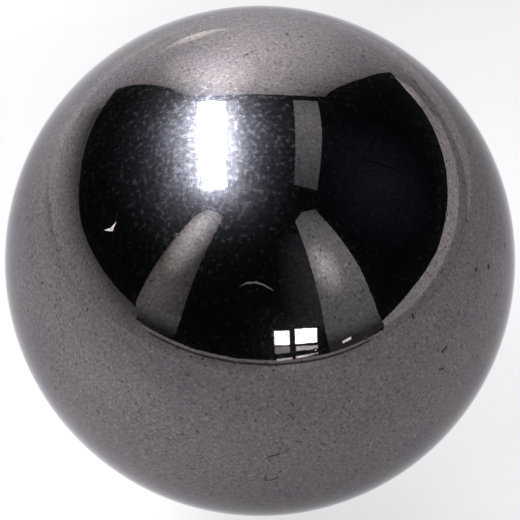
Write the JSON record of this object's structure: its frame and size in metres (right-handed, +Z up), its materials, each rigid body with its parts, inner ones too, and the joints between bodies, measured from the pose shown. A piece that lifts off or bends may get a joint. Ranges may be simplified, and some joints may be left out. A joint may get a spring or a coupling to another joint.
{
  "type": "steel ball",
  "caption": "Loose polished steel ball, solid and lapped round, for bearings, detents, valves and bench tests.",
  "frame": {"origin": "centre of the ball", "axes": "+Z up, away from the surface the ball lies on; +X and +Y level, and any turn about the centre gives the same shape"},
  "size_m": [0.02, 0.02, 0.02],
  "materials": {
    "polished_bearing_steel": "through-hardened chrome bearing steel, ground and lapped to a dark mirror, with fine dust, pits and hairline scratches"
  },
  "bodies": {
    "root": {"ball": "polished_bearing_steel"}
  },
  "joints": []
}
